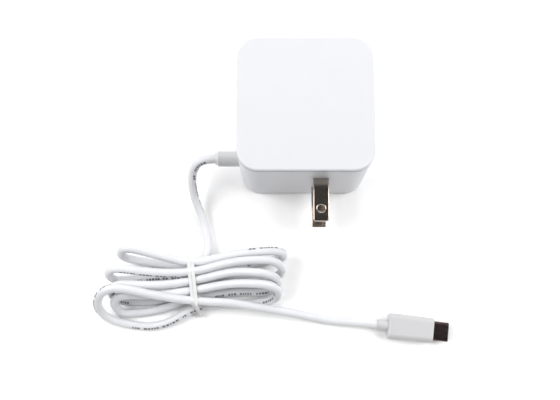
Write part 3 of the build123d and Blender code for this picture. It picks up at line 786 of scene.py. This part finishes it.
finishes = {
    "housing": moulded("housing_white", white_plastic, 0.38, seam=seam),
    "cover": moulded("cover_white", white_plastic, 0.38, seam=seam),
    "relief": moulded("relief_white", (0.60, 0.60, 0.61), 0.34),
    "overmould": moulded("overmould_white", (0.51, 0.505, 0.515), 0.32, grain=0.00025),
    "cord": jacket("jacket_white", (0.675, 0.68, 0.70)),
    "tie": tie_cover("tie_white", (0.67, 0.665, 0.665)),
    "blade": brushed("blade_nickel", nickel, 0.14, "Y"),
    "plug_metal": brushed("plug_nickel", (0.17, 0.125, 0.125), 0.14, "X"),
    "plug_insert": moulded("insert_black", (0.03, 0.03, 0.032), 0.5, grain=0.0001),
    "contact": brushed("contact_gold", (0.85, 0.64, 0.28), 0.24, "X", line=0.00005),
    "carrier": moulded("carrier_ivory", (0.62, 0.62, 0.58), 0.5, grain_depth=0.000004),
    "board": circuit_board("board_green", (0.03, 0.16, 0.06)),
    "liner": fibrous("liner_paper", (0.66, 0.62, 0.46)),
    "fuse_case": moulded("fuse_black", (0.05, 0.05, 0.055), 0.42),
    "black_package": moulded(
        "package_black", (0.035, 0.035, 0.037), 0.55, grain=0.00015, grain_depth=0.000005
    ),
    "ferrite": ground_ferrite("ferrite_grey", (0.07, 0.068, 0.066)),
    "copper": wound("copper_turns", (0.30, 0.10, 0.03), (0.75, 0.34, 0.14), 0.0005, "X", 0.9),
    "capacitor_sleeve": moulded("sleeve_blue", (0.03, 0.045, 0.16), 0.25, sink_depth=0.00002),
    "can_metal": brushed("can_aluminium", (0.78, 0.78, 0.79), 0.3, "Z", wear=0.9),
    "ceramic_blue": moulded("ceramic_dip", (0.03, 0.12, 0.42), 0.22, sink_depth=0.00005),
    "bobbin": moulded("bobbin_phenolic", (0.06, 0.05, 0.045), 0.48, grain_depth=0.000004),
    "tape": wound("tape_yellow", (0.62, 0.42, 0.03), (0.80, 0.60, 0.06), 0.0045, "Z"),
    "tin": brushed("tinned_wire", (0.72, 0.72, 0.73), 0.28, "Z", wear=0.85),
    "heatsink": brushed("heatsink_sheet", (0.70, 0.70, 0.71), 0.34, "Z", wear=0.88),
    "chip": moulded("chip_ceramic", (0.30, 0.22, 0.14), 0.4, grain=0.0002),
    "lead_red": moulded("lead_red", (0.45, 0.02, 0.015), 0.4),
    "lead_black": moulded("lead_black", (0.02, 0.02, 0.022), 0.4),
    "lead_white": moulded("lead_white", (0.70, 0.70, 0.70), 0.4),
}
marks_ink = printed("print_grey", (0.11, 0.11, 0.12))


def paint(painted, finish):
    """Gives the whole of an object one material."""
    painted.data.materials.clear()
    painted.data.materials.append(finish)


for entry in frame["record"]["subparts"]:
    paint(nodes[entry["node"]], finishes[entry["material_slot"]])
paint(cord, finishes["cord"])
paint(tie, finishes["tie"])
paint(marks, marks_ink)
for blade in blades:
    paint(blade, finishes["blade"])

# ---------------------------------------------------------------- floor and light

floor_size = 3.0
floor_gap = 0.00005


def paper_sweep(name):
    """White studio paper."""
    surface = Surface(name)
    surface.colour(surface.noise(0.05), (0.955, 0.955, 0.955), (0.97, 0.97, 0.97))
    surface.rough(surface.noise(0.002, 4.0), 0.75, 0.9)
    surface.bump(surface.noise(0.0006, 4.0), 0.000004)
    return surface.material


floor_mesh = bpy.data.meshes.new("floor")
floor_corners = [(-1, -1), (1, -1), (1, 1), (-1, 1)]
floor_points = [(x * floor_size, y * floor_size, -floor_gap) for x, y in floor_corners]
floor_mesh.from_pydata(floor_points, [], [(0, 1, 2, 3)])
floor = bpy.data.objects.new("floor", floor_mesh)
collection.objects.link(floor)
paint(floor, paper_sweep("floor_paper"))

light_target = Vector((0.0, -0.02, 0.01))


def soft_light(name, place, size, power):
    """A square soft box that faces the object."""
    data = bpy.data.lights.new(name, "AREA")
    data.size = size
    data.energy = power
    light = bpy.data.objects.new(name, data)
    light.location = place
    light.rotation_euler = (light_target - Vector(place)).to_track_quat("-Z", "Y").to_euler()
    collection.objects.link(light)


soft_light("left_box", (-0.72, 0.02, 0.70), 0.62, 7.8)
soft_light("right_box", (0.72, 0.02, 0.70), 0.62, 7.8)
soft_light("back_box", (0.0, 0.75, 0.65), 0.70, 2.6)

# The studio round the table: grey walls, a bright ring of ceiling and a dark gap straight overhead
studio_ring = [
    (0.0, 0.42),
    (0.20, 0.26),
    (0.45, 0.15),
    (0.62, 0.56),
    (0.83, 0.66),
    (0.90, 0.07),
    (1.0, 0.06),
]
wall_top = 0.15
ring_start = 0.40
studio_front = 0.02
studio_back = 1.70


def studio_world(name):
    """Soft light by height, and above the walls weaker from the front than from the back."""
    world = bpy.data.worlds.new(name)
    world.use_nodes = True
    tree = world.node_tree
    place = tree.nodes.new("ShaderNodeTexCoord")
    split = tree.nodes.new("ShaderNodeSeparateXYZ")
    ramp = tree.nodes.new("ShaderNodeValToRGB")
    stops = ramp.color_ramp.elements
    while len(stops) < len(studio_ring):
        stops.new(0.5)
    for stop, (height, strength) in zip(stops, studio_ring):
        stop.position = height
        stop.color = (strength, strength, strength, 1.0)
    tree.links.new(place.outputs["Generated"], split.inputs["Vector"])
    tree.links.new(split.outputs["Z"], ramp.inputs["Fac"])
    tree.links.new(ramp.outputs["Color"], tree.nodes["Background"].inputs["Color"])
    lean = tree.nodes.new("ShaderNodeMapRange")
    lean.inputs["From Min"].default_value = -1.0
    lean.inputs["To Min"].default_value = studio_front - 1.0
    lean.inputs["To Max"].default_value = studio_back - 1.0
    above = tree.nodes.new("ShaderNodeMapRange")
    above.inputs["From Min"].default_value = wall_top
    above.inputs["From Max"].default_value = ring_start
    strength = tree.nodes.new("ShaderNodeMath")
    strength.operation = "MULTIPLY_ADD"
    strength.inputs[2].default_value = 1.0
    tree.links.new(split.outputs["Y"], lean.inputs["Value"])
    tree.links.new(split.outputs["Z"], above.inputs["Value"])
    tree.links.new(lean.outputs["Result"], strength.inputs[0])
    tree.links.new(above.outputs["Result"], strength.inputs[1])
    tree.links.new(strength.outputs["Value"], tree.nodes["Background"].inputs["Strength"])
    return world


scene.world = studio_world("studio")
scene.view_settings.view_transform = "Standard"
